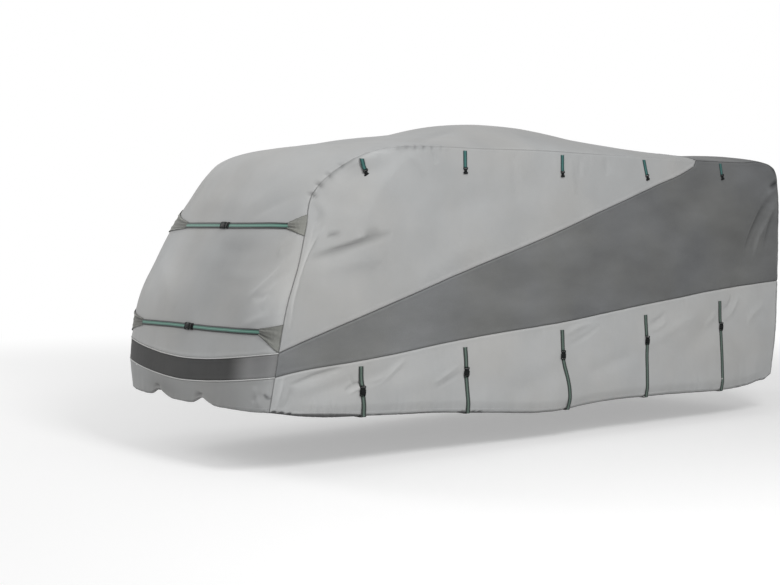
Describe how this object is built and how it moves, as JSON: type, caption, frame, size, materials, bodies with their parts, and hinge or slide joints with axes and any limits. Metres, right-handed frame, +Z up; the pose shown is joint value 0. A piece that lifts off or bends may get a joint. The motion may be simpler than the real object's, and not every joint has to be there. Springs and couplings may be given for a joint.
{
  "type": "caravan cover",
  "caption": "Fitted outdoor cover for a touring caravan: bowed sloping front, tented roof, upright sides with a darker sweep, webbing straps round the front and under the body.",
  "frame": {"origin": "under the top of the cover at mid-length, on the inside face of the roof cloth, where the body inside carries it", "axes": "+X to the back of the cover, +Z up, -Y to the side with the buckles"},
  "size_m": [6.2305, 2.2294, 2.5232],
  "materials": {
    "light_cloth": "matt light grey non-woven polypropylene cloth",
    "dark_cloth": "matt dark grey non-woven polypropylene cloth",
    "patch_cloth": "slightly crumpled woven grey reinforcement cloth",
    "webbing": "charcoal polypropylene webbing with green bands",
    "black_plastic": "black moulded plastic"
  },
  "bodies": {
    "root": {"front_skirt": "light_cloth", "front_and_roof": "light_cloth", "back_lower": "light_cloth", "front_band": "dark_cloth", "back_upper": "dark_cloth", "side_lower_near": "light_cloth", "side_middle_near": "dark_cloth", "side_upper_near": "light_cloth", "roof_tab_near_1": "webbing", "roof_tab_near_2": "webbing", "roof_tab_near_3": "webbing", "roof_tab_near_4": "webbing", "roof_tab_near_5": "webbing", "front_patch_upper_near": "patch_cloth", "front_strap_upper_near": "webbing", "front_patch_lower_near": "patch_cloth", "front_strap_lower_near": "webbing", "side_lower_far": "light_cloth", "side_middle_far": "dark_cloth", "side_upper_far": "light_cloth", "roof_tab_far_1": "webbing", "roof_tab_far_2": "webbing", "roof_tab_far_3": "webbing", "roof_tab_far_4": "webbing", "roof_tab_far_5": "webbing", "front_patch_upper_far": "patch_cloth", "front_strap_upper_far": "webbing", "front_patch_lower_far": "patch_cloth", "front_strap_lower_far": "webbing", "front_buckle_upper": "black_plastic", "front_buckle_lower": "black_plastic", "body_strap_1": "webbing", "body_strap_upper_1": "webbing", "body_buckle_1": "black_plastic", "body_strap_2": "webbing", "body_strap_upper_2": "webbing", "body_buckle_2": "black_plastic", "body_strap_3": "webbing", "body_strap_upper_3": "webbing", "body_buckle_3": "black_plastic", "body_strap_4": "webbing", "body_strap_upper_4": "webbing", "body_buckle_4": "black_plastic", "body_strap_5": "webbing", "body_strap_upper_5": "webbing", "body_buckle_5": "black_plastic"}
  },
  "joints": []
}
